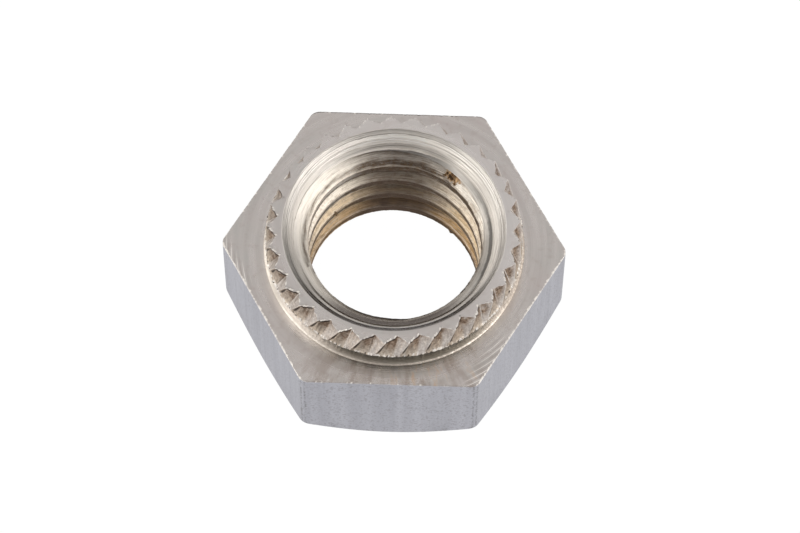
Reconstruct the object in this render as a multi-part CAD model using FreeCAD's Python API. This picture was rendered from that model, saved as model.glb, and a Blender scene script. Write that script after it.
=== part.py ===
import FreeCAD, Part
import math
import os

# Self clinching hex nut, one piece, in millimetres. +Z is the thread axis.
# The nut stands on its plain face at Z = 0 and its toothed collar points up.
# The thread itself is left out: the bore is at the thread's minor diameter.

# Hexagon
across_flats = 15.0
hex_height = 6.0
corner_radius = 0.55

# Turned chamfer on the plain face
base_chamfer_diameter = 14.82
base_chamfer_angle = 34.0

# Clinch collar, measured up from the hexagon's upper face
collar_height = 2.1
tooth_tip_diameter = 12.6
tooth_foot_diameter = 12.84
neck_base_diameter = 12.9
neck_depth = 0.14

# Ring of slanted teeth pressed into the collar
tooth_count = 33
tooth_depth = 0.44
tooth_length = 1.2
tooth_land = 0.04
first_notch_angle = 0.6
ridge_lag_angle = 4.8
valley_lag_angle = 2.0

# Bore, its two-stage mouth in the collar and its countersink in the plain face
bore_diameter = 8.6
lead_diameter = 9.7
lead_angle = 60.0
mouth_diameter = 11.12
mouth_depth = 0.93
exit_diameter = 10.7
exit_angle = 45.0

# How far cutting bodies run past the surfaces that they cut, and how far a
# notch's edges stand off the wall that it is cut in
overrun = 0.5
edge_clearance = 0.02

bore_radius = bore_diameter / 2
tip_radius = tooth_tip_diameter / 2
foot_radius = tooth_foot_diameter / 2
collar_root_z = hex_height / 2
total_height = hex_height + collar_height
tooth_foot_z = total_height - tooth_length
tooth_pitch_angle = 360.0 / tooth_count
axis_start = FreeCAD.Vector(0, 0, 0)
axis_up = FreeCAD.Vector(0, 0, 1)


def point(radius, z):
    """A point of a turned profile, in the XZ plane."""
    return FreeCAD.Vector(radius, 0, z)


def polar(radius, angle, z):
    """A point at a radius and an angle in degrees around the thread axis."""
    turn = math.radians(angle)
    return FreeCAD.Vector(radius * math.cos(turn), radius * math.sin(turn), z)


def turned(edges):
    """The solid swept by a closed profile of edges around the thread axis."""
    return Part.Face(Part.Wire(edges)).revolve(axis_start, axis_up, 360)


def turned_polygon(points):
    """The solid swept by a straight-sided profile around the thread axis."""
    return turned(Part.makePolygon(points + points[:1]).Edges)


def hexagon_block():
    """Hexagonal prism with flats facing +Y and -Y and rounded upright corners."""
    corner_distance = across_flats / math.sqrt(3)
    corners = [polar(corner_distance, 60 * step, 0) for step in range(6)]
    outline = Part.Face(Part.makePolygon(corners + corners[:1]))
    prism = outline.extrude(axis_up * hex_height)
    upright = [edge for edge in prism.Edges if edge.BoundBox.ZLength > hex_height / 2]
    return prism.makeFillet(corner_radius, upright)


def base_chamfer_envelope():
    """Turned body that takes the hexagon's lower corners off on a cone."""
    start = base_chamfer_diameter / 2
    reach = across_flats
    rise = (reach - start) * math.tan(math.radians(base_chamfer_angle))
    top = max(hex_height, rise) + overrun
    return turned_polygon([point(0, 0), point(start, 0), point(reach, rise), point(reach, top), point(0, top)])


def collar_blank():
    """The collar before its teeth: a hollow neck, a swell and a slight taper to the flat top."""
    base = point(neck_base_diameter / 2, hex_height)
    foot = point(foot_radius, tooth_foot_z)
    waist_radius = (base.x + foot.x) / 2 - neck_depth
    waist = point(waist_radius, (hex_height + tooth_foot_z) / 2)
    tip = point(tip_radius, total_height)
    inside = point(0, total_height)
    root = point(0, collar_root_z)
    skirt = point(base.x, collar_root_z)
    profile = [
        Part.LineSegment(root, skirt).toShape(),
        Part.LineSegment(skirt, base).toShape(),
        Part.Arc(base, waist, foot).toShape(),
        Part.LineSegment(foot, tip).toShape(),
        Part.LineSegment(tip, inside).toShape(),
        Part.LineSegment(inside, root).toShape(),
    ]
    return turned(profile)


def notch_section(depth_share, z):
    """Five-cornered section of one notch at a height.

    depth_share is 1 at the collar's top, where the notch is deepest, and 0 at its
    foot, where the notch runs out of the wall. The two ridges beside the notch and
    the valley between them lag by different angles on the way down, so the facet
    on one side grows wide and the other stays narrow.
    """
    ridge_radius = foot_radius + (tip_radius - foot_radius) * depth_share + edge_clearance
    valley_radius = ridge_radius - (tooth_depth + edge_clearance) * depth_share
    ridge_lag = ridge_lag_angle * (1 - depth_share)
    valley_lag = valley_lag_angle * (1 - depth_share)
    half_land = math.degrees(tooth_land / 2 / tip_radius)
    half_width = tooth_pitch_angle / 2 - half_land
    left = first_notch_angle - half_width - ridge_lag
    right = first_notch_angle + half_width - ridge_lag
    valley = first_notch_angle - valley_lag
    outside = foot_radius + overrun
    corners = [
        polar(valley_radius, valley, z),
        polar(ridge_radius, right, z),
        polar(outside, right, z),
        polar(outside, left, z),
        polar(ridge_radius, left, z),
    ]
    return Part.makePolygon(corners + corners[:1])


def notch_cutter():
    """One notch as a straight-ruled body from its foot to just above the collar."""
    above = overrun / tooth_length
    low = notch_section(0.0, tooth_foot_z)
    high = notch_section(1.0 + above, total_height + overrun)
    return Part.makeLoft([low, high], True, True)


def tooth_ring_cutters():
    """The notch repeated around the thread axis."""
    cutter = notch_cutter()
    ring = []
    for index in range(tooth_count):
        copy = cutter.copy()
        copy.rotate(axis_start, axis_up, index * tooth_pitch_angle)
        ring.append(copy)
    return ring


def cone_depth(wide_radius, narrow_radius, half_angle):
    """Axial depth of a cone between two radii, with its half angle from the axis."""
    return (wide_radius - narrow_radius) / math.tan(math.radians(half_angle))


def bore_cutter():
    """The bore with its countersink below and its two-stage mouth above."""
    lead_radius = lead_diameter / 2
    mouth_radius = mouth_diameter / 2
    exit_radius = exit_diameter / 2
    exit_depth = cone_depth(exit_radius, bore_radius, exit_angle)
    lead_z = total_height - mouth_depth
    wall_top = lead_z - cone_depth(lead_radius, bore_radius, lead_angle)
    flare = (mouth_radius - lead_radius) / mouth_depth
    return turned_polygon([
        point(0, -overrun),
        point(exit_radius + overrun * math.tan(math.radians(exit_angle)), -overrun),
        point(bore_radius, exit_depth),
        point(bore_radius, wall_top),
        point(lead_radius, lead_z),
        point(mouth_radius + overrun * flare, total_height + overrun),
        point(0, total_height + overrun),
    ])


def clinch_nut():
    """The whole nut as one solid."""
    body = hexagon_block().common(base_chamfer_envelope())
    body = body.fuse(collar_blank())
    body = body.cut(tooth_ring_cutters())
    body = body.cut(bore_cutter())
    return body.removeSplitter()


os.makedirs("parts", exist_ok=True)
nut = clinch_nut()
nut.exportStep("parts/clinch_nut.step")
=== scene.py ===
import math

import bpy
import numpy as np
from mathutils import Matrix, Vector


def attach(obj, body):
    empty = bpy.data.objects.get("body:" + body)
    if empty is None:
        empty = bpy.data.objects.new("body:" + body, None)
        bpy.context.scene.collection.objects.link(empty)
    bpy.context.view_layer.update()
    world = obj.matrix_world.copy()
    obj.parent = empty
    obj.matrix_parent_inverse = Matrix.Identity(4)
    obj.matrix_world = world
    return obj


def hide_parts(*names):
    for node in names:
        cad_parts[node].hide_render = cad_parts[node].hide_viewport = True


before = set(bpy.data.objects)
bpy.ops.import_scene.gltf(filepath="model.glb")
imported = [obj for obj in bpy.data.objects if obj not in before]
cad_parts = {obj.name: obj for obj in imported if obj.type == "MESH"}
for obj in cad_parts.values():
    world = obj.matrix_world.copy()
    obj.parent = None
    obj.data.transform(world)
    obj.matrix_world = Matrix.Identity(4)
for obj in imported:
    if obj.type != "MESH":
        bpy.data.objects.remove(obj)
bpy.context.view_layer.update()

# Self clinching nut. Sizes are in millimetres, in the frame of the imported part: +Z is
# the thread's axis, the plain face lies on Z = 0 and the flats face +Y and -Y.
MM = 0.001
TURN = 2 * math.pi
SIXTH = math.pi / 3

HALF_FLATS = 7.5
TOOL_STEP = 0.26
HEX_TOP = 6.0
CORNER_RADIUS = 0.55
BASE_CHAMFER_RADIUS = 7.41
BASE_CHAMFER_SLOPE = math.tan(math.radians(34.0))

COLLAR_TOP = 8.1
NECK_BASE = 6.45
NECK_HOLLOW = 0.14
NECK_FILLET = 0.03
NECK_LEVELS = (0.0, 0.03, 0.12, 0.27, 0.45, 0.63, 0.8, 0.92)

TOOTH_FOOT_Z = 6.9
TOOTH_FOOT_RADIUS = 6.42
TOOTH_TIP_RADIUS = 6.3
TOOTH_COUNT = 33
TOOTH_DEPTH = 0.44
TOOTH_PITCH = TURN / TOOTH_COUNT
TOOTH_LEVELS = (
    0.0, 0.03, 0.06, 0.1, 0.15, 0.21, 0.28, 0.36, 0.45, 0.54, 0.63, 0.72, 0.8, 0.87, 0.93,
    0.97, 0.99,
)
FIRST_VALLEY = math.radians(0.6)
RIDGE_LAG = math.radians(4.8)
VALLEY_LAG = math.radians(2.0)
DEPTH_SPREAD = 0.07
VALLEY_SPREAD = math.radians(0.35)

THREAD_PITCH = 1.5
CREST_RADIUS = 4.3
ROOT_RADIUS = 5.02
CREST_FLAT = 0.5
ROOT_FLAT = 0.19
CREST_HEIGHT = 4.66
EXIT_RADIUS = 5.35

# The mouth's profile as heights and radii, and its fine grooves as height, width and depth.
MOUTH_HEIGHTS = (0.0, 6.0, 6.8525, 7.03, 7.15, 7.2, 7.77, 7.8, 8.1, 9.0)
MOUTH_RADII = (3.0, 3.0, 4.3, 4.56, 4.83, 4.885, 5.28, 5.31, 5.5575, 6.1)
MOUTH_GROOVES = (
    (7.155, 0.03, 0.012), (7.79, 0.03, 0.012), (7.885, 0.022, 0.014), (7.965, 0.02, 0.008),
    (8.035, 0.018, 0.012), (7.66, 0.025, 0.007), (7.35, 0.03, 0.007), (7.48, 0.03, 0.004),
)

# The grid: columns round the outer skin and round the bore, and the bore's rows.
STEPS = 32
WIDE = TOOTH_COUNT * STEPS
NARROW = WIDE // 3
MOUTH_TOP, THREAD_TOP, EXIT_TOP, BORE_FOOT = 8.085, 7.14, 1.1, 0.02
MOUTH_ROWS, THREAD_ROWS, EXIT_ROWS = 42, 88, 5

# Rings on the flat faces, between the outer skin and the bore.
PLAIN_FACE_RINGS = (5.8, 7.2)
COLLAR_RINGS = (5.8, 5.76)
BRIM_RINGS = ((5.7, 0.0), (5.62, 0.0), (5.575, 0.002))
HEEL_RINGS = (5.4, 5.6)

FACED, DRAWN, PRESSED, BORED, THREADED = range(5)


def ripple(turn, height, waves, steepness, seed):
    """Smooth repeatable noise of about -1 to 1: a sum of cosines whose phases wind a whole
    number of times round the axis and drift with height."""
    rng = np.random.default_rng(seed)
    total = np.zeros(np.broadcast(turn, height).shape)
    for count in waves:
        drift = rng.uniform(-steepness, steepness)
        total += np.cos(count * turn + drift * height + rng.uniform(0, TURN))
    return total / math.sqrt(len(waves) / 2 + 0.5)


def hump(value, centre, width):
    """A bell curve: 1 at the centre, fading over about its width."""
    return np.exp(-((value - centre) / width) ** 2)


def ease(value, none_at, full_at):
    """A straight line from 0 at one value to 1 at another, level beyond them."""
    return np.clip((value - none_at) / (full_at - none_at), 0, 1)


def ring(radius, turn, height):
    """Points at a radius and an angle round the axis, at a height; any may be arrays."""
    radius, turn, height = np.broadcast_arrays(radius, turn, height)
    return np.stack([radius * np.cos(turn), radius * np.sin(turn), height], -1)


def polar(points):
    """Angle round the axis and distance from it, for each point."""
    return np.arctan2(points[..., 1], points[..., 0]), np.hypot(points[..., 0], points[..., 1])


def nearest_turn(turn, wanted):
    """The same angle, moved by whole turns to lie nearest the wanted one."""
    return turn - TURN * np.round((turn - wanted) / TURN)


def from_corner(turn):
    """Angle from the nearest corner of the hexagon."""
    return np.abs((turn + SIXTH / 2) % SIXTH - SIXTH / 2)


def right_side(turn):
    """1 on the nut's right and 0 elsewhere, by the cosine of the angle."""
    return ease(np.cos(turn), 0.4, 0.7)


def hexagon_radius(turn):
    """Distance from the axis to the hexagon's side: the half width over the cosine of the
    angle from the nearest flat, and near a corner the far side of the corner's round."""
    corner = from_corner(turn)
    flat = HALF_FLATS / np.cos(SIXTH / 2 - corner)
    centre = 2 * HALF_FLATS / math.sqrt(3) - CORNER_RADIUS / math.cos(SIXTH / 2)
    inside = np.maximum(CORNER_RADIUS ** 2 - (centre * np.sin(corner)) ** 2, 0)
    rounded = centre * np.cos(corner) + np.sqrt(inside)
    tangent = math.atan2(CORNER_RADIUS / 2, centre + CORNER_RADIUS * math.cos(SIXTH / 2))
    return np.where(corner < tangent, rounded, flat)


# Each column of the outer skin belongs to a tooth and lies a share of the way from that
# tooth's ridge to the next one.
column = np.arange(WIDE)
tooth = column // STEPS
share = (column % STEPS) / STEPS
ridge_turn = FIRST_VALLEY + (tooth - 0.5) * TOOTH_PITCH
plain_turn = ridge_turn + share * TOOTH_PITCH - RIDGE_LAG

# No two teeth are quite alike.
chance = np.random.default_rng(41)
tooth_depth = TOOTH_DEPTH * (1 + DEPTH_SPREAD * chance.standard_normal(TOOTH_COUNT))
valley_shift = VALLEY_SPREAD * chance.standard_normal(TOOTH_COUNT)
lump_size = chance.uniform(0.3, 1.0, TOOTH_COUNT)[tooth]
lump_place = chance.uniform(0.25, 0.7, TOOTH_COUNT)[tooth]
burr_size = chance.uniform(0.2, 1.0, TOOTH_COUNT)[tooth]

# Beside each ridge: a crease pressed in on one side and a burr pushed up on the other.
crease_line = hump(share, 0.06, 0.04)
burr_line = hump(share, 0.985, 0.03)


def tooth_row(rise):
    """One level of the tooth ring. rise is 0 at the teeth's foot and 1 at the collar's top.
    Each column lies on the straight line from its tooth's ridge to the valley beside it,
    and ridges and valleys lag by different angles on the way down. Its radius then gains
    dents that are deepest halfway along a facet, a lump and torn ripples just above the
    foot, an undercut along the crease and a curl along the burr."""
    height = TOOTH_FOOT_Z + (COLLAR_TOP - TOOTH_FOOT_Z) * rise
    ridge_radius = TOOTH_FOOT_RADIUS + (TOOTH_TIP_RADIUS - TOOTH_FOOT_RADIUS) * rise
    first = ridge_turn - RIDGE_LAG * (1 - rise)
    middle = ridge_turn + TOOTH_PITCH / 2 + valley_shift[tooth] - VALLEY_LAG * (1 - rise)
    before = ring(ridge_radius, first, height)
    valley = ring(ridge_radius - tooth_depth[tooth] * rise, middle, height)
    after = ring(ridge_radius, first + TOOTH_PITCH, height)
    along = np.abs(share - 0.5)[:, None] * 2
    points = valley + (np.where(share[:, None] < 0.5, before, after) - valley) * along
    turn, radius = polar(points)
    halfway = (1 - along[:, 0]) * along[:, 0] * 4
    torn = 0.014 * ripple(turn, height, (61, 97, 140, 201, 260), 9.0, 5)
    torn = torn + 0.016 * ripple(turn, height, (35, 52, 71), 5.0, 7)
    dent = halfway * min(1.0, 2 * rise) * torn
    lump = lump_size * 0.055 * hump(rise, 0.03, 0.06) * hump(share, lump_place, 0.2)
    rough = 0.02 * hump(rise, 0.04, 0.06) * ripple(turn, height, (133, 190, 266, 301), 30.0, 6)
    upper = ease(rise, 0.05, 0.3)
    undercut = -0.06 * upper * crease_line
    curl = 0.025 * upper * burr_line * burr_size
    return ring(radius + dent + lump + rough + undercut + curl, turn, height)


def neck_rows():
    """The hollow neck: a shallow parabola from the hexagon's face to the teeth's foot, with
    a small fillet at its base and its columns sliding back to even spacing on the way
    down."""
    foot_turn, foot_radius = polar(tooth_row(0.0))
    foot_turn = nearest_turn(foot_turn, plain_turn)
    rows = []
    for level in NECK_LEVELS:
        height = HEX_TOP + (TOOTH_FOOT_Z - HEX_TOP) * level
        base = NECK_BASE + (foot_radius - NECK_BASE) * level
        hollow = NECK_HOLLOW * 4 * level * (1 - level)
        fillet = NECK_FILLET * max(0.0, 1 - level / 0.04)
        turn = plain_turn + (foot_turn - plain_turn) * level ** 2
        rows.append(ring(base - hollow + fillet, turn, height))
    return rows


def tooth_marks(level):
    """Painted highlight and painted shade of one level of the tooth ring: bright lines painted
    on the ridges' burrs, thinner ones along the valleys and bright crumbs by the foot; dark
    painted shade along the creases beside the ridges and valleys, under the collar's edge
    and in pits by the foot."""
    upper = ease(level, 0.05, 0.3)
    # Painted highlights: crumbs by the foot, lines along the valleys and along the burrs.
    flecks = 2.2 * ripple(plain_turn, level * 3.0, (13, 71, 118, 179, 262), 9.0, 14) - 0.3
    crumbs = 1.3 * np.clip(flecks, 0, 1) * hump(level, 0.03, 0.08)
    valley_line = 0.7 * upper * hump(share, 0.53, 0.025) * burr_size
    burr_and_highlight = np.maximum(upper * burr_line * (0.4 + 0.6 * burr_size), valley_line) + crumbs
    # Painted shade: specks by the foot, and lines under the collar's edge and beside the ridges and
    # valleys.
    pits = ripple(plain_turn, level * 4.0, (77, 143, 209, 308), 9.0, 15) - 0.5
    pits = (level < 0.1) * np.clip(pits, 0, 1)
    brow = hump(level, 0.95, 0.065) * ease(share, 0.52, 0.46) * (share > 0.05)
    beside = 0.5 * upper * hump(share, 0.47, 0.03) * lump_size
    ridge_line = upper * (1 - 0.6 * ease(level, 0.55, 0.85)) * crease_line
    crease_and_shade = np.maximum(np.maximum(ridge_line, brow * (0.5 + 0.5 * lump_size)), beside)
    return burr_and_highlight, crease_and_shade + pits


def burr_rise_and_highlight(turn):
    """How far the burr stands up along the teeth's upper edges, and how strong the highlight
    painted along them is: more on the wide facets and in front, less on the right."""
    raised = np.where(share < 0.5, 0.75, 0.3)
    raised = raised + ripple(turn, 0.0, (99, 165, 231, 297), 1.0, 12)
    raised = np.clip(raised, 0, 1.5) * np.interp(np.sin(turn), (-0.6, 0.2), (1.55, 0.4))
    return burr_size * raised * (1 - 0.5 * right_side(turn)) * np.where(share < 0.5, 1.0, 0.7)


def outside_rows():
    """The nut's outer skin as rings of points: out along the plain face, up the turned
    chamfer and the flats, in over the upper face, up the neck and the teeth, and in over
    the collar's top. Also the row at which each finish starts, and how much painted
    highlight on burrs and how much crease or painted shade each row carries."""
    side = hexagon_radius(plain_turn)
    rise = (side - BASE_CHAMFER_RADIUS) * BASE_CHAMFER_SLOPE
    none = np.zeros(WIDE)
    rows = [ring(radius, plain_turn, 0.0) for radius in PLAIN_FACE_RINGS]
    for level in (0.03, 0.97):
        radius = BASE_CHAMFER_RADIUS + (side - BASE_CHAMFER_RADIUS) * level
        rows.append(ring(radius, plain_turn, rise * level))
    starts = {"flats": len(rows) - 1}
    low, high = rise + 0.03, HEX_TOP - 0.12
    for level in (0.0, 0.5, 1.0):
        rows.append(ring(side, plain_turn, low + (high - low) * level))
    burr_and_highlight = [none] * len(rows)

    # The hexagon's upper edge: a small uneven bevel with a lip, with a cream highlight painted
    # along it, brighter on some sides and in stray specks.
    nibble = 0.5 + 0.6 * ripple(plain_turn, 0.0, (23, 57, 88, 131, 207, 290), 1.0, 11)
    nibble = np.clip(nibble, 0, 2)
    side_number = np.floor(plain_turn / SIXTH).astype(int) % 6
    side_highlight = np.array([0.35, 0.1, 0.2, 1.0, 0.15, 1.0])[side_number]
    stray = np.clip(ripple(plain_turn, 0.0, (41, 97, 173, 251), 1.0, 19) - 1.2, 0, 1) * 3
    bevel = 0.03 + 0.035 * nibble
    lip = 0.014 * nibble
    edge = side - bevel - 0.05
    starts["edge"] = len(rows)
    rows += [
        ring(side, plain_turn, HEX_TOP - bevel),
        ring(side + 0.3 * lip - 0.3 * bevel, plain_turn, HEX_TOP - 0.3 * bevel + 0.5 * lip),
        ring(side - bevel, plain_turn, HEX_TOP + 0.3 * lip),
        ring(edge, plain_turn, HEX_TOP),
    ]
    # Strength of the highlight painted along the edge.
    rim_highlight = np.clip(side_highlight * (0.35 + 0.65 * nibble) + stray, 0, 1)
    burr_and_highlight += [0.6 * rim_highlight, rim_highlight, 0.8 * rim_highlight, none]
    for level in (0.25, 0.6, 0.98):
        radius = edge + (NECK_BASE + NECK_FILLET - edge) * level
        rows.append(ring(radius, plain_turn, HEX_TOP))
        burr_and_highlight.append(none)

    starts["neck"] = len(rows) - 1
    rows += neck_rows()
    # A thin highlight painted along the neck's base.
    burr_and_highlight += [none + 0.38] + [none] * (len(NECK_LEVELS) - 1)
    corner = hump(from_corner(plain_turn), 0.012, 0.008)
    crease_and_shade = [none] * starts["flats"] + [corner] * 5
    crease_and_shade += [none] * (len(rows) - len(crease_and_shade))

    starts["teeth"] = len(rows)
    for level in TOOTH_LEVELS:
        rows.append(tooth_row(level))
        level_burr, level_crease = tooth_marks(level)
        burr_and_highlight.append(level_burr)
        crease_and_shade.append(level_crease)

    # The collar's top, from the teeth's upper edges inwards to even spacing.
    turn, radius = polar(tooth_row(1.0))
    raised = burr_rise_and_highlight(turn)
    rim = np.where(share < 0.5, 0.1, 0.06)
    inside = radius - rim - 0.03
    between = COLLAR_RINGS[0] + (inside - COLLAR_RINGS[0]) * 0.4
    even = ridge_turn + share * TOOTH_PITCH
    turn = nearest_turn(turn, even)
    starts["top"] = len(rows)
    rows += [
        ring(radius, turn, COLLAR_TOP - 0.008 + 0.02 * raised),
        ring(radius - rim, turn, COLLAR_TOP + 0.01 * raised),
        ring(inside, turn, COLLAR_TOP),
        ring(between, even + (turn - even) * 0.5, COLLAR_TOP),
        ring(COLLAR_RINGS[1], even, COLLAR_TOP),
    ]
    # Highlights painted along the teeth's upper edges, and a little painted shade along the
    # creases.
    burr_and_highlight += [np.clip(raised, 0, 1), np.clip(raised, 0, 1) * 0.8, none, none, none]
    crease_and_shade += [0.3 * crease_line] + [none] * 4
    return np.array(rows), starts, np.array(burr_and_highlight), np.array(crease_and_shade)


def mouth_radius(turn, height):
    """Radius of the turned mouth at a height: straight cones between the listed steps, plus
    the listed grooves and the fine rings left by the cutting tool, which fade in front."""
    radius = np.interp(height, MOUTH_HEIGHTS, MOUTH_RADII)
    for centre, width, depth in MOUTH_GROOVES:
        radius = radius + depth * hump(height, centre, width)
    fine = 0.002 * np.cos(height * 71.0) + 0.0015 * np.cos(height * 113.0 + 1.0)
    fine = fine + 0.002 * ripple(turn, height, (7, 19, 31), 30.0, 21)
    return radius + fine * (0.12 + 0.88 * ease(np.sin(turn), -0.8, -0.3))


def above_crest(turn, height):
    """How far a point lies above the middle of the nearest crest of the thread, which
    climbs one pitch for each turn round the axis."""
    climbed = THREAD_PITCH * (turn - math.pi / 2) / TURN
    laps = (height - CREST_HEIGHT - climbed) / THREAD_PITCH
    return (laps - np.round(laps)) * THREAD_PITCH


def thread_radius(turn, height):
    """Radius of the screw thread, and how far it has sunk from 0 at the crest to 1 at the
    root: a flat crest, a straight flank and a flat root, on either side of the crest."""
    away = np.abs(above_crest(turn, height))
    sunk = ease(away, CREST_FLAT / 2, (THREAD_PITCH - ROOT_FLAT) / 2)
    return CREST_RADIUS + (ROOT_RADIUS - CREST_RADIUS) * sunk, sunk


def thread_edges(turn):
    """Heights at which the thread's crests and roots begin and end, at each angle."""
    half_crest, half_root = CREST_FLAT / 2, (THREAD_PITCH - ROOT_FLAT) / 2
    edges = []
    for side in (-half_crest, half_crest, half_root, -half_root):
        for lap in range(-6, 4):
            climbed = THREAD_PITCH * (lap + (turn - math.pi / 2) / TURN)
            edges.append(CREST_HEIGHT + side + climbed)
    return np.array(edges)


def bore_heights(turn):
    """Heights of the bore's grid: even rows, but the row nearest to an edge of the thread,
    or to the line where the thread runs out into the mouth, is moved onto it."""
    levels = np.concatenate([
        np.linspace(MOUTH_TOP, THREAD_TOP, MOUTH_ROWS, endpoint=False),
        np.linspace(THREAD_TOP, EXIT_TOP, THREAD_ROWS, endpoint=False),
        np.linspace(EXIT_TOP, BORE_FOOT, EXIT_ROWS),
    ])
    height = np.repeat(levels[:, None], NARROW, 1)
    places = np.arange(NARROW)
    edges = thread_edges(turn)
    near = np.abs(levels[:, None, None] - edges[None]).argmin(0)
    fits = (edges < THREAD_TOP - 0.04) & (edges > EXIT_TOP - 0.05)
    columns = np.broadcast_to(places, edges.shape)
    height[near[fits], columns[fits]] = edges[fits]

    fine = np.linspace(7.55, 6.75, 240)[:, None]
    thread_cuts = thread_radius(turn, fine)[0] - mouth_radius(turn, fine) > 0
    crossing = np.argmax(thread_cuts, 0)
    crosses = thread_cuts.any(0) & (crossing > 0)
    run_out = fine[crossing, 0]
    nearest = np.abs(levels[:, None] - run_out).argmin(0)
    height[nearest[crosses], places[crosses]] = run_out[crosses]
    return height


def crest_marks(turn, height, blunt):
    """Where the thread's crests carry painted shade and where their upper edges carry a painted
    highlight. A crest's painted dark band reaches further at the back and on the first turn;
    on the left of the first turn it is only a pair of thin painted shade lines."""
    above = above_crest(turn, height)
    rear = ease(np.sin(turn), 0.75, 0.95)
    first = ease(height, 5.45, 5.6)
    upper = 0.07 + 0.16 * rear + 0.22 * first
    lower = 0.13 + 0.10 * rear + 0.10 * first + 0.1 * blunt
    crest_shade = np.clip(np.minimum(upper - above, lower + above) / 0.05 + 0.5, 0, 1)
    middle = hump(above, (upper - lower) / 2, 0.16)
    crest_shade = crest_shade * (1 - 0.55 * first * (1 - rear) * (1 - blunt) * middle) * (0.92 + 0.08 * rear)
    left = first * (1 - rear) * ease(-np.cos(turn), 0.3, 0.5)
    pair = hump(above, 0.36, 0.045) + hump(above, -0.15, 0.06)
    return crest_shade * (1 - left) + 0.95 * left * pair, hump(above, CREST_FLAT / 2 + 0.01, 0.04)


def bore_grid():
    """The bore as a grid of rows going down and columns going round: its points, the depth
    in the thread's groove, and the masks of the crests' painted shade and of the highlight
    painted along their upper edges. The radius is the largest of the thread, the mouth and
    the countersink, which widens by 45 degrees towards the plain face. The thread is blunt on
    the right of its first turn, with a chip at the back right, a nib near the foot and finely
    torn crests."""
    turn = ridge_turn[::3] + share[::3] * TOOTH_PITCH
    height = bore_heights(turn)
    thread, sunk = thread_radius(turn, height)
    blunt = ease(height, 5.4, 5.6) * ease(np.cos(turn), -0.05, 0.2)
    thread = np.maximum(thread, CREST_RADIUS + 0.08 * blunt)
    mouth = mouth_radius(turn, height)
    countersink = EXIT_RADIUS - height
    radius = np.maximum(np.maximum(thread, mouth), countersink)
    shows = (thread >= mouth) & (thread >= countersink)
    east, north = radius * np.cos(turn), radius * np.sin(turn)
    chip = hump(east, 2.93, 0.4) * hump(north, 3.75, 0.4) * hump(height, 6.52, 0.2)
    radius = radius + 0.08 * chip * (1 + 0.8 * ripple(turn, height, (90, 151, 217), 20.0, 33))
    radius = radius - 0.09 * hump(turn, 0.854, 0.02) * hump(height, 1.3, 0.15)
    torn = ripple(turn, height, (37, 59, 83, 127, 167), 14.0, 31)
    radius = radius + 0.005 * torn * shows * (sunk < 0.15)
    crest_shade, crest_edge_highlight = crest_marks(turn, height, blunt)
    brim = [ring(away, turn, COLLAR_TOP - drop) for away, drop in BRIM_RINGS]
    heel = [ring(away, turn, 0.0) for away in HEEL_RINGS]
    points = np.concatenate([np.array(brim), ring(radius, turn, height), np.array(heel)])
    rims = ((len(BRIM_RINGS), len(HEEL_RINGS)), (0, 0))
    return points, *(np.pad(mark * shows, rims) for mark in (sunk, crest_shade, crest_edge_highlight))


def grid_corners(start, count, rows):
    """The four corners of every cell in a grid of closed rings: each point, the next one
    round, and the same two on the next ring."""
    near = np.arange(count)
    far = (near + 1) % count
    row = start + np.arange(rows - 1)[:, None] * count
    return row + near, row + far, row + count + far, row + count + near


def belt(wide_start, narrow_start):
    """Triangles between a ring of WIDE points and one of NARROW points, three to one."""
    near = np.arange(NARROW)
    far = (near + 1) % NARROW
    w0, w1, w2 = (wide_start + 3 * near + step for step in range(3))
    w3 = wide_start + (3 * near + 3) % WIDE
    n0, n1 = narrow_start + near, narrow_start + far
    fans = [(w0, w1, n0), (w1, n1, n0), (w1, w2, n1), (w2, w3, n1)]
    return np.concatenate([np.stack(fan, -1) for fan in fans])


def facet_marks(outer, starts):
    """For each point of the outer skin: how deep it lies in a notch, less so on the narrow
    facets, and whether it is on a wide facet."""
    teeth, top = starts["teeth"], starts["top"]
    depth = np.zeros(outer.shape[:2])
    depth[teeth:] = ease(polar(outer[teeth:])[1], 6.4, 6.4 - TOOTH_DEPTH)
    narrow = 0.4 + 0.5 * right_side(plain_turn)
    depth = depth * (0.85 + (narrow - 0.85) * np.interp(share, (0.44, 0.58), (0.0, 1.0)))
    depth[top + 1:] = 0
    wide = np.zeros(depth.shape)
    wide[teeth:top] = ease(share, 0.58, 0.42)
    return depth, wide


def put(name, data):
    """A new object in the scene."""
    made = bpy.data.objects.new(name, data)
    bpy.context.scene.collection.objects.link(made)
    return made


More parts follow.
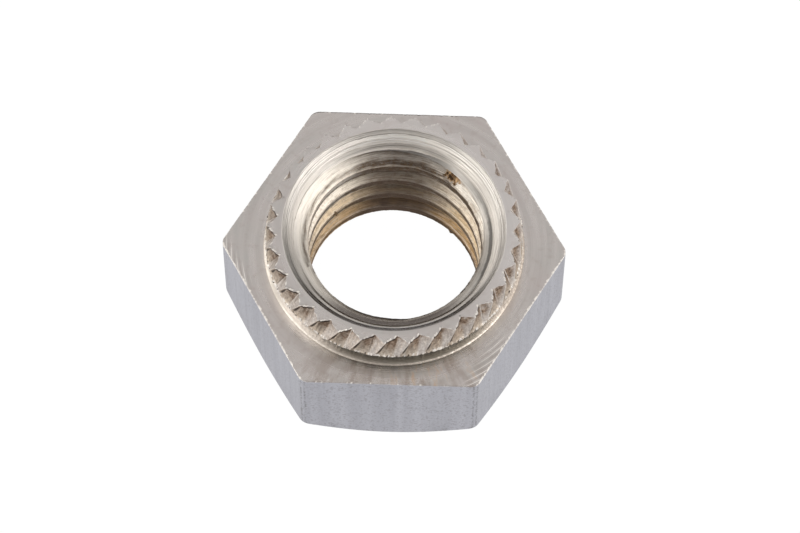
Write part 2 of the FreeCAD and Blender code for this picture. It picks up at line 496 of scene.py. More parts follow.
def build_nut():
    """The whole nut as one closed mesh: grids of rings for the outer skin and the bore,
    joined by two belts of triangles on the flat faces."""
    outer, starts, outer_burr_and_highlight, outer_crease_and_shade = outside_rows()
    inner, groove, crest_shade, crest_edge_highlight = bore_grid()
    rows_out, rows_in = len(outer), len(inner)
    start_in = rows_out * WIDE
    quads = np.stack(grid_corners(0, WIDE, rows_out), -1).reshape(-1, 4)
    a, b, c, d = grid_corners(start_in, NARROW, rows_in)
    over = belt((rows_out - 1) * WIDE, start_in)
    under = belt(0, start_in + (rows_in - 1) * NARROW)[:, [0, 2, 1]]
    bore_faces = [np.stack(corners, -1).reshape(-1, 3) for corners in ((a, b, d), (b, c, d))]
    triangles = np.concatenate([*bore_faces, over, under])

    points = np.concatenate([outer.reshape(-1, 3), inner.reshape(-1, 3)]) * MM
    mesh = bpy.data.meshes.new("clinch_nut_body")
    mesh.vertices.add(len(points))
    mesh.vertices.foreach_set("co", points.ravel())
    loops = np.concatenate([quads.ravel(), triangles.ravel()])
    sizes = np.concatenate([np.full(len(quads), 4), np.full(len(triangles), 3)])
    firsts = np.cumsum(sizes) - sizes
    mesh.loops.add(len(loops))
    mesh.loops.foreach_set("vertex_index", loops.astype(np.int32))
    mesh.polygons.add(len(sizes))
    mesh.polygons.foreach_set("loop_start", firsts.astype(np.int32))

    skin = np.full(rows_out - 1, FACED)
    skin[starts["flats"]:starts["edge"]] = DRAWN
    skin[starts["neck"]:starts["top"]] = PRESSED
    hole = np.full((rows_in - 1, NARROW), BORED)
    hole[:len(BRIM_RINGS) - 1] = FACED
    hole[len(BRIM_RINGS) + MOUTH_ROWS:] = THREADED
    hole[-1] = FACED
    belts = np.full(len(over) + len(under), FACED)
    finish = np.concatenate([np.repeat(skin, WIDE), hole.ravel(), hole.ravel(), belts])
    mesh.update(calc_edges=True)
    mesh.validate()
    mesh.polygons.foreach_set("material_index", finish.astype(np.int32))
    mesh.polygons.foreach_set("use_smooth", np.ones(len(finish), bool))
    mesh.set_sharp_from_angle(angle=math.radians(24))

    notch, facet = facet_marks(outer, starts)
    # The last two marks carry painted shade (with the creases at the flats' corners) and painted
    # highlights.
    for name, skin_marks, hole_marks in (
        ("notch", notch, np.zeros(groove.shape)), ("groove", facet, groove),
        ("crease_and_shade", outer_crease_and_shade, crest_shade), ("burr_and_highlight", outer_burr_and_highlight, crest_edge_highlight),
    ):
        values = np.concatenate([skin_marks.ravel(), hole_marks.ravel()])
        layer = mesh.attributes.new(name, "FLOAT", "POINT")
        layer.data.foreach_set("value", values.astype(np.float32))
    return put("clinch_nut_body", mesh)


def place(tree, kind, inputs=None, **settings):
    """Adds a node, sets its properties, and fills or links its inputs. A tint of three
    numbers gets the fourth that a colour socket wants."""
    made = tree.nodes.new(kind)
    for name, value in settings.items():
        setattr(made, name, value)
    for name, value in (inputs or {}).items():
        socket = made.inputs[name]
        if isinstance(value, bpy.types.NodeSocket):
            tree.links.new(value, socket)
        else:
            socket.default_value = (*value, 1) if socket.type == "RGBA" else value
    return made


def new_group(name, inputs, outputs):
    """An empty shader node group with named float inputs and outputs."""
    tree = bpy.data.node_groups.new(name, "ShaderNodeTree")
    for label, value in inputs.items():
        made = tree.interface.new_socket(label, in_out="INPUT", socket_type="NodeSocketFloat")
        made.default_value = value
    for label in outputs:
        tree.interface.new_socket(label, in_out="OUTPUT", socket_type="NodeSocketFloat")
    given, result = tree.nodes.new("NodeGroupInput"), tree.nodes.new("NodeGroupOutput")
    return tree, given.outputs, result.inputs


def maths(tree, operation, first, second=0.0, clamp=False):
    """One Math node's output."""
    inputs = {0: first, 1: second}
    return place(tree, "ShaderNodeMath", inputs, operation=operation, use_clamp=clamp).outputs[0]


def times(tree, product, *factors):
    """The product of two or more numbers."""
    for factor in factors:
        product = maths(tree, "MULTIPLY", product, factor)
    return product


def vector(tree, operation, first, second=None):
    """One Vector Math node's output."""
    inputs = {0: first}
    if second is not None:
        inputs[3 if operation == "SCALE" else 1] = second
    made = place(tree, "ShaderNodeVectorMath", inputs, operation=operation)
    return made.outputs["Value" if operation in ("LENGTH", "DOT_PRODUCT") else "Vector"]


def split(tree, spot):
    """A point's three coordinates."""
    return place(tree, "ShaderNodeSeparateXYZ", {0: spot}).outputs


def noise(tree, spot, scale, detail, roughness):
    """One noise texture's grey."""
    inputs = {"Vector": spot, "Scale": scale, "Detail": detail, "Roughness": roughness}
    return place(tree, "ShaderNodeTexNoise", inputs).outputs["Fac"]


def spread(tree, value, low, high, out_low=0.0, out_high=1.0):
    """A value carried from one range to another and clamped there."""
    inputs = {
        "Value": value, "From Min": low, "From Max": high, "To Min": out_low, "To Max": out_high,
    }
    return place(tree, "ShaderNodeMapRange", inputs).outputs["Result"]


def blend(tree, factor, first, second, blend_type="MIX"):
    """A colour mixed from two by a factor."""
    inputs = {0: factor, 6: first, 7: second}
    settings = {"data_type": "RGBA", "blend_type": blend_type}
    return place(tree, "ShaderNodeMix", inputs, **settings).outputs[2]


def layered(tree, colour, *layers):
    """A colour with tints laid over it in turn, each where its mask is set."""
    for mask, tint in layers:
        colour = blend(tree, mask, colour, tint)
    return colour


def tint_ramp(tree, value, stops):
    """A colour read along a row of positions and tints."""
    made = place(tree, "ShaderNodeValToRGB", {"Fac": value})
    elements = made.color_ramp.elements
    for element, (position, tint) in zip(elements, (stops[0], stops[-1])):
        element.position, element.color = position, (*tint, 1)
    for position, tint in stops[1:-1]:
        elements.new(position).color = (*tint, 1)
    return made.outputs["Color"]


def banded(tree, colour, height, mask, tones):
    """Painted light and shade: a colour darkened or lightened where a mask is set, by grey
    tones at heights in millimetres; the first and last of them span the range."""
    low, high = tones[0][0], tones[-1][0]
    stops = [((level - low) / (high - low), (tone,) * 3) for level, tone in tones]
    grey = tint_ramp(tree, spread(tree, height, low, high), stops)
    return blend(tree, 1.0, colour, blend(tree, mask, (1, 1, 1), grey), "MULTIPLY")


def millimetres(tree):
    """The point being shaded, in millimetres."""
    return vector(tree, "SCALE", place(tree, "ShaderNodeTexCoord").outputs["Object"], 1 / MM)


def heading_and_height(tree):
    """Which way a point lies from the axis, as the cosine and sine of its angle, and its
    height in millimetres."""
    where = millimetres(tree)
    flat = vector(tree, "MULTIPLY", where, (1, 1, 0))
    heading = split(tree, vector(tree, "NORMALIZE", flat))
    return heading[0], heading[1], split(tree, where)[2]


def carried(tree, *names):
    """Marks that the mesh carries at its points, by name."""
    for name in names:
        yield place(tree, "ShaderNodeAttribute", attribute_name=name).outputs["Fac"]


def ring_marks_group():
    """Concentric tool marks: noise read at the distance from the axis plus the height, and
    hardly changing round the axis, so each streak is an arc of a circle. Sweep is how much
    it changes round the axis; Tone is the same read seven times broader."""
    tree, given, result = new_group(
        "ring_marks", {"Fineness": 20.0, "Sweep": 1.5}, ("Height", "Tone")
    )
    where = millimetres(tree)
    flat = vector(tree, "MULTIPLY", where, (1, 1, 0))
    swept = vector(tree, "SCALE", vector(tree, "NORMALIZE", flat), given["Sweep"])
    depth = maths(tree, "ADD", vector(tree, "LENGTH", flat), split(tree, where)[2])
    lifted = place(tree, "ShaderNodeCombineXYZ", {2: times(tree, depth, given["Fineness"])})
    spot = vector(tree, "ADD", swept, lifted.outputs[0])
    tree.links.new(noise(tree, spot, 1.0, 4.0, 0.65), result["Height"])
    broad = vector(tree, "MULTIPLY", spot, (0.8, 0.8, 0.14))
    tree.links.new(noise(tree, broad, 1.0, 3.0, 0.6), result["Tone"])
    return tree


def draw_marks_group():
    """Marks of the drawing die: noise stretched a long way up the bar, fine as Height and
    broad as Tone."""
    tree, given, result = new_group("draw_marks", {"Fineness": 14.0}, ("Height", "Tone"))
    long = vector(tree, "MULTIPLY", millimetres(tree), (1, 1, 0.035))
    tree.links.new(noise(tree, long, given["Fineness"], 4.0, 0.5), result["Height"])
    tree.links.new(noise(tree, long, 1.7, 3.0, 0.5), result["Tone"])
    return tree


def blotches_group():
    """Uneven patches: plain noise at a size in marks per millimetre, pushed to the ends of
    its range by Contrast."""
    tree, given, result = new_group("blotches", {"Size": 1.0, "Contrast": 2.0}, ("Mask",))
    plain = noise(tree, millimetres(tree), given["Size"], 5.0, 0.6)
    pushed = times(tree, maths(tree, "SUBTRACT", plain, 0.5), given["Contrast"])
    tree.links.new(maths(tree, "ADD", pushed, 0.5, clamp=True), result["Mask"])
    return tree


ring_marks, draw_marks, blotches = ring_marks_group(), draw_marks_group(), blotches_group()


def marks(tree, group, **values):
    """The outputs of a group placed in a material with its own values."""
    return place(tree, "ShaderNodeGroup", values, node_tree=group).outputs


def patches(tree, size, contrast):
    """The blotches group's mask."""
    return marks(tree, blotches, Size=size, Contrast=contrast)["Mask"]


def steel(name):
    """An empty material with a metallic Principled shader; returns the material, its tree
    and the shader's inputs."""
    material = bpy.data.materials.new(name)
    material.use_nodes = True
    tree = material.node_tree
    shader = tree.nodes["Principled BSDF"].inputs
    shader["Metallic"].default_value = 1.0
    return material, tree, shader


def feed(tree, shader, **channels):
    """Links each named channel to the shader's input."""
    for name, value in channels.items():
        tree.links.new(value, shader[name.replace("_", " ").title()])


def bump(tree, height, strength, distance):
    """A normal from a height; the distance is in metres."""
    inputs = {"Height": height, "Strength": strength, "Distance": distance}
    return place(tree, "ShaderNodeBump", inputs).outputs[0]


def corner_lines(tree, colour, cosine, tone):
    """Painted glints and shade on the turning lines at the hexagon's two front corners: a
    bright painted glint and a dark painted shadow ring for each step of the tool, in windows
    along the front flanks."""
    flat = vector(tree, "MULTIPLY", millimetres(tree), (1, 1, 0))
    radius = vector(tree, "LENGTH", flat)
    folded, north = split(tree, vector(tree, "ABSOLUTE", flat))[0], split(tree, flat)[1]
    outward = maths(tree, "SUBTRACT", times(tree, folded, 0.866), times(tree, north, 0.5))
    along = maths(tree, "ADD", times(tree, folded, -0.5), times(tree, north, -0.866))
    on_left = times(
        tree, spread(tree, cosine, 0.0, -0.05), spread(tree, along, -1.3, -1.9),
        spread(tree, outward, 7.0, 7.3),
    )
    on_right = times(
        tree, spread(tree, cosine, 0.0, 0.05), spread(tree, along, 1.2, 1.8),
        spread(tree, outward, 6.7, 7.2),
    )
    near = times(tree, maths(tree, "MAXIMUM", on_left, on_right), spread(tree, tone, 0.3, 0.5, 0.4))
    wave = maths(tree, "SINE", times(tree, radius, TURN / TOOL_STEP))
    return layered(
        tree, colour,
        (times(tree, near, spread(tree, wave, 0.8, 0.98)), (1.0, 0.97, 0.92)),
        (times(tree, near, spread(tree, wave, -0.5, -0.9, 0.0, 0.4)), (0.36, 0.31, 0.28)),
    )


def faced_steel():
    """Turned faces: warm grey with fine rings, faint pink and green patches, a painted
    reflection of the teeth as brown and tan patches on the strip in front of the neck,
    painted glints and shade on the turning lines at the front corners, a paler collar at
    the back right, and cream highlights painted along the edge burrs."""
    material, tree, shader = steel("faced_steel")
    rings = marks(tree, ring_marks, Fineness=20.0, Sweep=1.6)
    radial = marks(tree, ring_marks, Fineness=0.5, Sweep=13.0)["Height"]
    burr_and_highlight, = carried(tree, "burr_and_highlight")
    cosine, sine, height = heading_and_height(tree)
    # A painted reflection of the teeth on the strip in front of the neck: brown and tan patches.
    teeth_reflection_strip = times(tree, spread(tree, sine, -0.74, -0.92), spread(tree, height, 6.1, 6.05))
    brown = times(tree, teeth_reflection_strip, spread(tree, radial, 0.44, 0.62, 0.0, 0.52))
    tan = times(
        tree, teeth_reflection_strip, spread(tree, radial, 0.43, 0.34, 0.0, 0.75), spread(tree, cosine, -0.05, 0.1)
    )
    back_right = spread(tree, maths(tree, "ADD", cosine, sine), -0.4, 0.6)
    pale = times(tree, spread(tree, height, 7.9, 8.05), back_right, 0.35)
    colour = layered(
        tree, blend(tree, patches(tree, 0.45, 2.2), (0.62, 0.57, 0.555), (0.58, 0.575, 0.555)),
        (spread(tree, rings["Tone"], 0.35, 0.65), (0.67, 0.64, 0.62)),
        (spread(tree, patches(tree, 2.5, 3.0), 0.6, 1.0, 0.0, 0.3), (0.48, 0.42, 0.39)),
        (brown, (0.34, 0.27, 0.225)), (tan, (0.68, 0.53, 0.40)), (pale, (0.85, 0.83, 0.82)),
    )
    colour = corner_lines(tree, colour, cosine, rings["Tone"])
    # Cream highlights painted along the edge burrs.
    colour = layered(tree, colour, (spread(tree, burr_and_highlight, 0.1, 0.7, 0.0, 0.95), (0.95, 0.92, 0.87)))
    feed(
        tree, shader, base_color=colour, metallic=spread(tree, burr_and_highlight, 0.3, 0.9, 1.0, 0.35),
        roughness=spread(tree, rings["Tone"], 0.3, 0.7, 0.34, 0.24),
        normal=bump(tree, rings["Height"], 0.35, 0.00002),
    )
    return material


def drawn_steel():
    """Flats left as drawn: cooler grey with streaks along the bar, fine grain, small pits,
    and dark dots along the corners."""
    material, tree, shader = steel("drawn_steel")
    streaks = marks(tree, draw_marks, Fineness=9.0)
    pits = patches(tree, 9.0, 6.0)
    crease_and_shade, = carried(tree, "crease_and_shade")
    dots = times(tree, spread(tree, crease_and_shade, 0.3, 0.9), spread(tree, pits, 0.3, 0.7, 0.0, 0.5))
    tone = spread(tree, streaks["Tone"], 0.35, 0.65)
    colour = layered(
        tree, blend(tree, tone, (0.50, 0.495, 0.52), (0.60, 0.595, 0.62)),
        (spread(tree, patches(tree, 12.0, 3.5), 0.0, 1.0, 0.45, 0.0), (0.40, 0.395, 0.42)),
        (spread(tree, patches(tree, 0.6, 2.0), 0.3, 1.0, 0.0, 0.35), (0.53, 0.53, 0.555)),
        (spread(tree, pits, 0.8, 1.0, 0.0, 0.5), (0.30, 0.28, 0.28)),
        (dots, (0.12, 0.11, 0.10)),
    )
    feed(
        tree, shader, base_color=colour,
        roughness=spread(tree, streaks["Height"], 0.3, 0.7, 0.38, 0.28),
        normal=bump(tree, streaks["Height"], 0.25, 0.00002),
    )
    return material


def pressed_steel():
    """Teeth and neck: each tooth has a tan facet that browns toward its apex and a paler one
    beside it, with torn grain, painted shade along the creases beside the ridges and painted
    highlights on the burrs on them. The neck has painted shade in front and a painted cream
    highlight on the left, with its foot there painted duller."""
    material, tree, shader = steel("pressed_steel")
    notch, facet, crease_and_shade, burr_and_highlight = carried(tree, "notch", "groove", "crease_and_shade", "burr_and_highlight")
    grain = patches(tree, 9.0, 3.0)
    stain = patches(tree, 2.2, 4.5)
    streaks = marks(tree, draw_marks, Fineness=7.0)["Height"]
    cosine, sine, height = heading_and_height(tree)
    below_teeth = spread(tree, height, 6.95, 6.8)

    pale = blend(tree, grain, (0.66, 0.60, 0.56), (0.94, 0.89, 0.83))
    tan = blend(tree, grain, (0.50, 0.40, 0.30), (0.86, 0.76, 0.62))
    colour = blend(tree, spread(tree, facet, 0.0, 1.0, 0.2, 0.85), pale, tan)

    # The neck's shade lies in front and a little to the right.
    facing = maths(tree, "SUBTRACT", times(tree, sine, 0.988), times(tree, cosine, 0.156))
    shade = times(
        tree, spread(tree, height, 6.88, 6.8), spread(tree, facing, -0.6, -0.88, 0.0, 0.9),
        spread(tree, height, 6.03, 6.08),
    )
    dark = blend(tree, spread(tree, streaks, 0.4, 0.6), (0.26, 0.25, 0.215), (0.15, 0.15, 0.13))
    dark = layered(tree, dark, (spread(tree, height, 6.5, 6.3), (0.25, 0.23, 0.19)))
    # A cream highlight painted on the left of the neck, and painted shade that dulls its foot
    # there.
    painted_cream_light = times(tree, below_teeth, spread(tree, cosine, -0.3, -0.8, 0.0, 0.7))
    foot_shade = times(
        tree, spread(tree, height, 6.35, 6.1), spread(tree, sine, -0.25, -0.5, 0.0, 0.5),
        spread(tree, cosine, 0.2, -0.2),
    )
    deep = times(tree, spread(tree, notch, 0.05, 0.5), spread(tree, stain, 0.1, 0.7, 0.45))
    brown = blend(tree, grain, (0.13, 0.085, 0.055), (0.46, 0.34, 0.25))
    colour = layered(
        tree, colour, (spread(tree, streaks, 0.42, 0.66, 0.0, 0.5), (0.42, 0.37, 0.32)),
        (shade, dark), (painted_cream_light, (1.0, 0.97, 0.92)), (foot_shade, (0.44, 0.395, 0.35)), (deep, brown),
        # Painted shade along the creases, and painted highlights on the burrs.
        (spread(tree, crease_and_shade, 0.2, 0.7, 0.0, 0.92), (0.045, 0.032, 0.025)),
        (spread(tree, burr_and_highlight, 0.2, 0.7, 0.0, 0.95), (0.92, 0.88, 0.82)),
    )
    flank = times(tree, below_teeth, spread(tree, sine, -0.75, -0.45), 0.7)
    feed(
        tree, shader, base_color=colour, metallic=spread(tree, burr_and_highlight, 0.3, 0.9, 1.0, 0.4),
        roughness=maths(tree, "MAXIMUM", spread(tree, grain, 0.0, 1.0, 0.46, 0.32), flank),
        normal=bump(tree, grain, 0.35, 0.00003),
    )
    return material


# Painted light and shade on the turned mouth: grey tones by height, all round, and on its
# near, right, back right, left and far sides.
ALL_ROUND = (
    (6.7, 1.0), (6.98, 1.0), (7.18, 1.25), (7.32, 1.28), (7.35, 0.9), (7.38, 1.28), (7.64, 1.25),
    (7.66, 0.8), (7.68, 1.15), (7.8, 1.0), (7.865, 1.0), (7.885, 0.6), (7.91, 1.0), (8.02, 1.0),
    (8.035, 0.8), (8.05, 1.0), (8.1, 1.0),
)
NEAR_SIDE = (
    (6.7, 1.0), (7.0, 1.1), (7.12, 0.95), (7.16, 0.85), (7.2, 0.95), (7.5, 0.88), (7.62, 0.85),
    (7.7, 0.8), (7.78, 0.72), (7.84, 0.95), (8.03, 0.95), (8.08, 1.0), (8.1, 1.0),
)
RIGHT_SIDE = (
    (6.7, 1.0), (7.03, 0.9), (7.1, 0.55), (7.13, 0.2), (7.18, 0.25), (7.23, 0.75), (7.3, 1.05),
    (7.8, 1.05), (8.1, 1.05),
)
BACK_RIGHT = ((6.7, 0.9), (7.1, 0.65), (7.28, 0.65), (7.34, 0.84), (8.1, 0.88))
LEFT_SIDE = (
    (6.7, 0.9), (7.1, 0.85), (7.2, 0.7), (7.72, 0.72), (7.78, 0.75), (7.84, 0.6), (8.0, 0.65),
    (8.06, 1.0), (8.1, 1.0),
)
FAR_SIDE = (
    (6.7, 0.8), (7.04, 0.75), (7.06, 0.28), (7.16, 0.28), (7.19, 1.05), (7.25, 1.05), (7.29, 0.72),
    (7.46, 0.72), (7.52, 1.1), (7.66, 1.25), (7.86, 1.4), (7.88, 0.9), (7.98, 1.05), (8.0, 0.7),
    (8.03, 1.0), (8.06, 0.7), (8.1, 1.0),
)

# The bore's colour by share of the nut's height: golden low down, cream, then grey.
BORE_TINTS = (
    (0.15, (0.68, 0.42, 0.18)), (0.4, (0.80, 0.61, 0.37)), (0.65, (0.84, 0.76, 0.64)),
    (0.82, (0.80, 0.76, 0.70)), (0.92, (0.74, 0.715, 0.685)),
)

# Rust in the chip and at two nibs of the thread: its middle, turn in degrees and size.
RUST_SPOTS = (
    ((2.90, 3.79, 6.52), 23.3, (0.52, 0.44, 0.27)),
    ((-3.1, 2.98, 3.45), -46.0, (0.12, 0.12, 0.18)),
    ((-3.0, 3.08, 3.1), -46.0, (0.07, 0.07, 0.24)),
)


def thread_stains(tree, colour, height, sine, leftward, stain, specks):
    """Scored and polished lines along the thread, the scored ones fainter on the left as a
    painted lightening, specks, painted shade on the far wall at the back and a dark lower edge."""
    lines = marks(tree, ring_marks, Fineness=26.0, Sweep=5.0)["Height"]
    below = spread(tree, height, 7.1, 6.9)
    # Scored lines fade on the left, painting that side lighter.
    less_left = spread(tree, leftward, 0.0, 1.0, 1.0, 0.45)
    scored = times(tree, below, spread(tree, lines, 0.51, 0.6, 0.0, 0.65), less_left)
    polished = times(tree, below, spread(tree, lines, 0.45, 0.38, 0.0, 0.4))
    specked = times(tree, spread(tree, height, 7.1, 6.2), spread(tree, specks, 0.6, 0.95, 0.0, 0.3))
    amount = maths(
        tree, "ADD", spread(tree, height, 6.1, 5.6, 0.12, 0.6),
        spread(tree, height, 5.6, 2.0, 0.0, 0.25),
    )
    # Painted shade on the far wall of the bore, at the back.
    far_wall_shade = times(
        tree, spread(tree, sine, 0.85, 0.98), amount, spread(tree, stain, 0.0, 1.0, 0.75),
        spread(tree, height, 7.2, 7.0),
    )
    wobble = times(tree, maths(tree, "SUBTRACT", stain, 0.5), 0.24)
    lower_edge = spread(tree, maths(tree, "ADD", height, wobble), 1.6, 1.2, 0.0, 0.75)
    return layered(
        tree, colour,
        (scored, (0.20, 0.15, 0.11)), (polished, (0.95, 0.86, 0.74)), (specked, (0.30, 0.21, 0.13)),
        (far_wall_shade, (0.125, 0.095, 0.08)), (lower_edge, (0.10, 0.07, 0.05)),
    )


def rusted(tree, colour, specks):
    """Rust inside small turned ellipsoids whose edges are ragged."""
    where = millimetres(tree)
    rust = blend(tree, spread(tree, specks, 0.15, 0.5), (0.09, 0.055, 0.03), (0.42, 0.28, 0.16))
    for centre, degrees, size in RUST_SPOTS:
        apart = {"Vector": vector(tree, "SUBTRACT", where, centre), "Angle": math.radians(degrees)}
        laid = place(tree, "ShaderNodeVectorRotate", apart, rotation_type="Z_AXIS").outputs[0]
        scaled = vector(tree, "MULTIPLY", laid, [1 / length for length in size])
        ragged = spread(tree, specks, 0.0, 1.0, -0.25, 0.25)
        reach = maths(tree, "ADD", vector(tree, "LENGTH", scaled), ragged)
        colour = layered(tree, colour, (spread(tree, reach, 1.05, 0.9), rust))
    return colour


def bored_steel(name, edge_tint):
    """Mouth and thread: grey where it was turned, cream and then golden brown further down,
    with painted shade on the crests and a painted highlight along their upper edges, brown
    painted shade deep in the grooves, a painted highlight on the left of the thread and
    painted light and shade in bands round the mouth. In front the mouth is matt and smooth."""
    material, tree, shader = steel(name)
    shader["Specular Tint"].default_value = (*edge_tint, 1)
    groove, crest_shade, crest_edge_highlight = carried(tree, "groove", "crease_and_shade", "burr_and_highlight")
    rings = marks(tree, ring_marks, Fineness=11.0, Sweep=1.6)
    stain = patches(tree, 1.2, 3.5)
    specks = patches(tree, 5.0, 5.0)
    cosine, sine, height = heading_and_height(tree)
    wobble = times(tree, maths(tree, "SUBTRACT", stain, 0.5), 0.03)
    level = maths(tree, "ADD", height, wobble)
    leftward = spread(tree, cosine, -0.2, -0.7)
    rightward = maths(tree, "SUBTRACT", times(tree, cosine, 0.94), times(tree, sine, 0.342))
    diagonal = times(tree, maths(tree, "ADD", cosine, sine), 0.7071)
    in_front = spread(tree, sine, -0.35, -0.75)

    # Brown painted shade deep in the grooves, weaker on the left.
    deep = times(
        tree, spread(tree, groove, 0.45, 1.0), spread(tree, stain, 0.0, 1.0, 0.5),
        spread(tree, leftward, 0.0, 1.0, 1.0, 0.2),
    )
    # A painted highlight on the left of the thread, strongest just below the mouth.
    reach = spread(tree, height, 7.12, 7.05)
    reach = maths(tree, "MAXIMUM", reach, spread(tree, sine, 0.1, 0.4, 0.0, 0.1))
    left_painted_light = times(
        tree, leftward, spread(tree, height, 3.5, 5.5, 0.05, 0.9),
        spread(tree, height, 6.7, 6.9, 1.0, 0.35), reach,
    )
    colour = layered(
        tree, tint_ramp(tree, spread(tree, height, 0.0, COLLAR_TOP), BORE_TINTS),
        (spread(tree, rings["Height"], 0.53, 0.68, 0.0, 0.6), (0.30, 0.27, 0.24)),
        (spread(tree, rings["Tone"], 0.5, 0.7, 0.0, 0.5), (0.82, 0.80, 0.76)),
        (deep, (0.15, 0.115, 0.09)), (left_painted_light, (1.0, 0.94, 0.85)),
    )

    right = times(tree, spread(tree, rightward, 0.3, 0.85), spread(tree, sine, -0.8, -0.4))
    left = times(tree, leftward, spread(tree, sine, 0.15, -0.3), spread(tree, sine, -0.85, -0.6))
    # Painted light and shade in bands by height, all round and on each side of the mouth.
    for mask, tones in (
        (1.0, ALL_ROUND), (in_front, NEAR_SIDE), (right, RIGHT_SIDE),
        (spread(tree, diagonal, 0.86, 0.97), BACK_RIGHT), (left, LEFT_SIDE),
    ):
        colour = banded(tree, colour, level, mask, tones)
    shaded = spread(tree, height, 7.1, 7.05, 0.0, 0.38)
    shaded = times(tree, spread(tree, rightward, 0.75, 1.0), shaded)
    colour = layered(tree, colour, (shaded, (0.12, 0.10, 0.085)))
    # Painted light and shade in bands by height on the far side.
    colour = banded(tree, colour, level, spread(tree, sine, 0.75, 0.97), FAR_SIDE)
    # Painted shade on the crests, with specks, and a painted highlight along their upper edges.
    dotted = times(tree, crest_shade, spread(tree, specks, 0.1, 0.9, 0.85))
    colour = layered(
        tree, colour, (dotted, (0.07, 0.048, 0.032)),
        (spread(tree, crest_edge_highlight, 0.3, 0.9, 0.0, 0.6), (0.80, 0.73, 0.64)),
    )
    colour = thread_stains(tree, colour, height, sine, leftward, stain, specks)

    matt = times(tree, in_front, spread(tree, level, 7.3, 7.45), spread(tree, level, 7.74, 7.68))
    rim = times(tree, in_front, spread(tree, level, 8.03, 8.07, 0.0, 0.5))
    rough = times(
        tree, spread(tree, rings["Height"], 0.3, 0.7, 0.44, 0.34),
        spread(tree, sine, -0.75, -0.45, 0.55),
    )
    wide = times(
        tree, spread(tree, height, 7.1, 7.3), spread(tree, height, 7.78, 7.72),
        spread(tree, sine, -0.75, -0.45), spread(tree, sine, 0.75, 0.5), 0.24,
    )
    relief = times(tree, rings["Height"], spread(tree, sine, -0.8, -0.4, 0.1))
    feed(
        tree, shader, base_color=rusted(tree, colour, specks),
        metallic=spread(tree, maths(tree, "MAXIMUM", matt, rim), 0.0, 1.0, 1.0, 0.15),
        roughness=maths(tree, "ADD", rough, wide), normal=bump(tree, relief, 0.8, 0.00003),
    )
    return material


def studio_floor():
    """A wide pale floor, lit from below like a light table. The nut's steel sees it greyer
    than the camera does, with a painted shadow that makes it greyer still under the bore."""
    size, height = 0.6, -0.00002
    corners = ((-1, -1), (1, -1), (1, 1), (-1, 1))
    corners = [(east * size, north * size, height) for east, north in corners]
    mesh = bpy.data.meshes.new("floor")
    mesh.from_pydata(corners, [], [(0, 1, 2, 3)])
    floor = put("floor", mesh)
    material, tree, shader = steel("light_table")
    for name, value in (
        ("Metallic", 0.0), ("Base Color", (0.02, 0.02, 0.02, 1)), ("Roughness", 1.0),
        ("Specular IOR Level", 0.0), ("Emission Strength", 1.0),
    ):
        shader[name].default_value = value
    # A painted shadow for the steel's reflections: the floor is darker under the bore.
    away = spread(tree, vector(tree, "LENGTH", millimetres(tree)), 4.5, 6.2)
    under = blend(tree, away, (0.58, 0.585, 0.61), (0.71, 0.715, 0.745))
    seen = place(tree, "ShaderNodeLightPath").outputs["Is Camera Ray"]
    feed(tree, shader, emission_color=layered(tree, under, (seen, (1.0, 1.0, 1.0))))
    mesh.materials.append(material)


def soft_light(name, east, colour):
    """A rectangular soft box beside the nut, aimed at it. Its power is its brightness, white
    being 1, times its area times pi."""
    width, height, brightness = 0.34, 0.27, 1.6
    position = Vector((east, -0.066, 0.160))
    data = bpy.data.lights.new(name, "AREA")
    data.shape = "RECTANGLE"
    data.size = width
    data.size_y = height
    data.energy = brightness * width * height * math.pi
    data.color = colour
    box = put(name, data)
    box.location = position
    box.rotation_euler = (Vector((0, 0, 0.005)) - position).to_track_quat("-Z", "Y").to_euler()


def lobe(tree, where, azimuth, elevation, inner, outer):
    """1 within an angle of a direction, fading to 0 at a wider one; all in degrees."""
    turn, lift = math.radians(azimuth), math.radians(elevation)
    level = math.cos(lift)
    centre = (math.cos(turn) * level, math.sin(turn) * level, math.sin(lift))
    toward = vector(tree, "DOT_PRODUCT", where, centre)
    return spread(tree, toward, math.cos(math.radians(outer)), math.cos(math.radians(inner)))


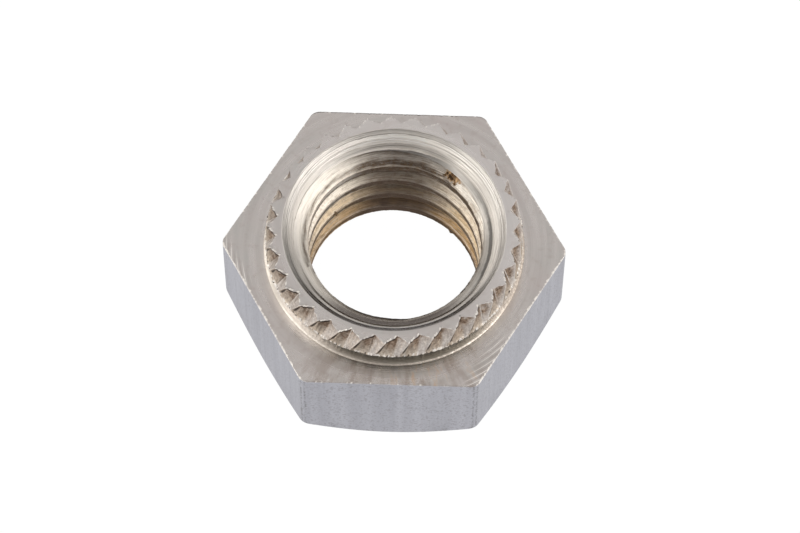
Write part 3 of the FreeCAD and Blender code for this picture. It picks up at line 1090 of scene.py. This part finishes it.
def studio_world():
    """Surroundings of the studio: white at the horizon, grey overhead, and dark in front,
    above the horizon, and low down behind."""
    world = bpy.data.worlds.new("studio")
    bpy.context.scene.world = world
    world.use_nodes = True
    tree = world.node_tree
    tree.nodes.clear()
    where = place(tree, "ShaderNodeTexCoord").outputs["Generated"]
    up = split(tree, where)[2]
    sky = tint_ramp(tree, up, (
        (0.0, (1.0, 0.99, 0.98)), (0.10, (1.0, 0.98, 0.96)), (0.25, (0.98, 0.95, 0.91)),
        (0.6, (0.85, 0.82, 0.78)), (0.88, (0.76, 0.735, 0.725)), (1.0, (0.60, 0.57, 0.55)),
    ))
    front = times(tree, lobe(tree, where, -89, 42, 21, 38), spread(tree, up, 0.12, 0.24))
    behind = times(tree, lobe(tree, where, 91, 20, 18, 34), spread(tree, up, 0.04, 0.10))
    colour = layered(tree, sky, (front, (0.22, 0.20, 0.19)), (behind, (0.13, 0.115, 0.11)))
    shade = place(tree, "ShaderNodeBackground", {"Color": colour, "Strength": 1.0})
    sink = tree.nodes.new("ShaderNodeOutputWorld")
    tree.links.new(shade.outputs[0], sink.inputs["Surface"])


# The camera stands where the photograph was taken from: a little to the right of the
# front flat and well above it, rolled by half a degree.
AZIMUTH, ELEVATION, ROLL = math.radians(1.412), math.radians(64.598), math.radians(0.504)
DISTANCE = 206.07 * MM
AIM = np.array([0.3315, -1.065, 6.0]) * MM
LENS, SENSOR_WIDTH = 186.09, 36.0


def photo_camera():
    """Camera frame from its line of sight: right is level, up completes it, and both are
    then rolled about the line of sight."""
    level = math.cos(ELEVATION)
    back = np.array([math.sin(AZIMUTH) * level, -math.cos(AZIMUTH) * level, math.sin(ELEVATION)])
    right = np.cross(-back, [0.0, 0.0, 1.0])
    right /= np.linalg.norm(right)
    up = np.cross(right, -back)
    axes = np.eye(4)
    axes[:3, 0] = math.cos(ROLL) * right + math.sin(ROLL) * up
    axes[:3, 1] = -math.sin(ROLL) * right + math.cos(ROLL) * up
    axes[:3, 2] = back
    axes[:3, 3] = AIM + back * DISTANCE
    data = bpy.data.cameras.new("photo_camera")
    data.lens = LENS
    data.sensor_width = SENSOR_WIDTH
    data.clip_start = 0.01
    camera = put("photo_camera", data)
    camera.matrix_world = Matrix(axes.tolist())
    bpy.context.scene.camera = camera


photo_camera()
nut = build_nut()
mouth_steel = bored_steel("bored_steel", (1.0, 1.0, 1.0))
thread_steel = bored_steel("threaded_steel", (0.62, 0.52, 0.44))
for material in (faced_steel(), drawn_steel(), pressed_steel(), mouth_steel, thread_steel):
    nut.data.materials.append(material)
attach(nut, "root")
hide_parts("clinch_nut")

studio_floor()
studio_world()
soft_light("soft_left", -0.310, (1.0, 0.975, 0.93))
soft_light("soft_right", 0.310, (1.0, 0.97, 0.93))
bpy.context.scene.view_settings.view_transform = "Standard"
